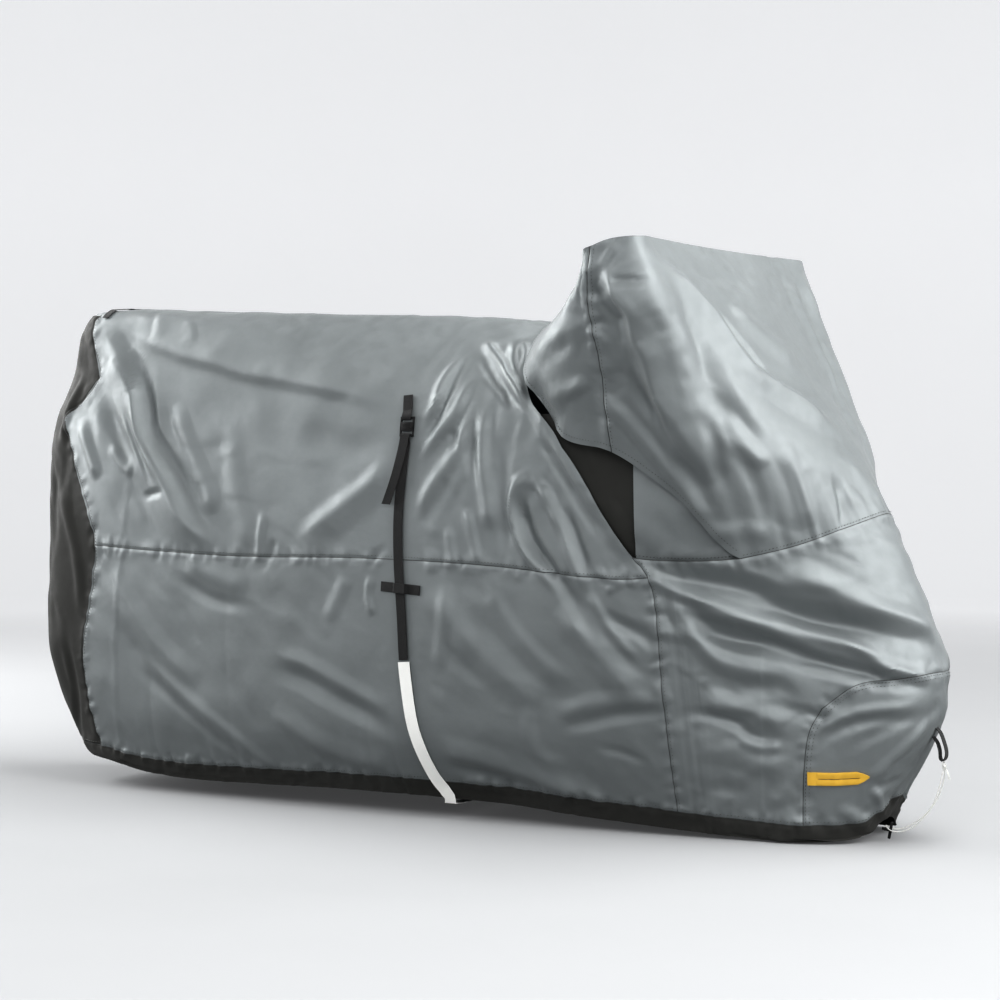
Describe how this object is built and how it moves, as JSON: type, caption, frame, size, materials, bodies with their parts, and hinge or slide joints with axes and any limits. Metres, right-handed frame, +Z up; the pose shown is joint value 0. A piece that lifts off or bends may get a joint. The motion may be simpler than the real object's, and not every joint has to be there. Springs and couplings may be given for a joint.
{
  "type": "motorcycle cover",
  "caption": "Fitted cloth cover for a motorcycle, with a hood over the handlebar, a side belt with a buckle, side vents, lock slits and a front cord with a toggle.",
  "frame": {"origin": "underside of the cloth on top of the saddle, which carries the cover", "axes": "+X to the front of the motorcycle, +Y to its left side, +Z up"},
  "size_m": [2.3122, 0.832, 1.2406],
  "materials": {
    "grey_cloth": "satin coated nylon",
    "black_cloth": "matt coated nylon",
    "yellow_cloth": "matt",
    "black_webbing": "woven webbing",
    "white_webbing": "woven webbing",
    "white_cord": "elastic cord",
    "black_plastic": "moulded"
  },
  "bodies": {
    "root": {"upper_body": "grey_cloth", "rear_panel": "black_cloth", "front_panel": "grey_cloth", "wheel_panel": "grey_cloth", "hem_band": "black_cloth", "hood_rear": "grey_cloth", "hood_front": "grey_cloth", "lower_panel_right": "grey_cloth", "vent_window_right": "black_cloth", "corner_panel_right": "grey_cloth", "lock_welt_right": "yellow_cloth", "lower_panel_left": "grey_cloth", "vent_window_left": "black_cloth", "corner_panel_left": "grey_cloth", "lock_welt_left": "yellow_cloth", "belt_tab": "black_webbing", "belt_buckle": "black_plastic", "belt_strap": "black_webbing", "belt_loose_end": "black_webbing", "belt_keeper": "black_webbing", "belt_sleeve": "white_webbing", "tail_tab": "black_webbing", "front_loop": "black_webbing", "cord": "white_cord", "cord_knot": "white_cord", "toggle": "black_plastic"}
  },
  "joints": []
}
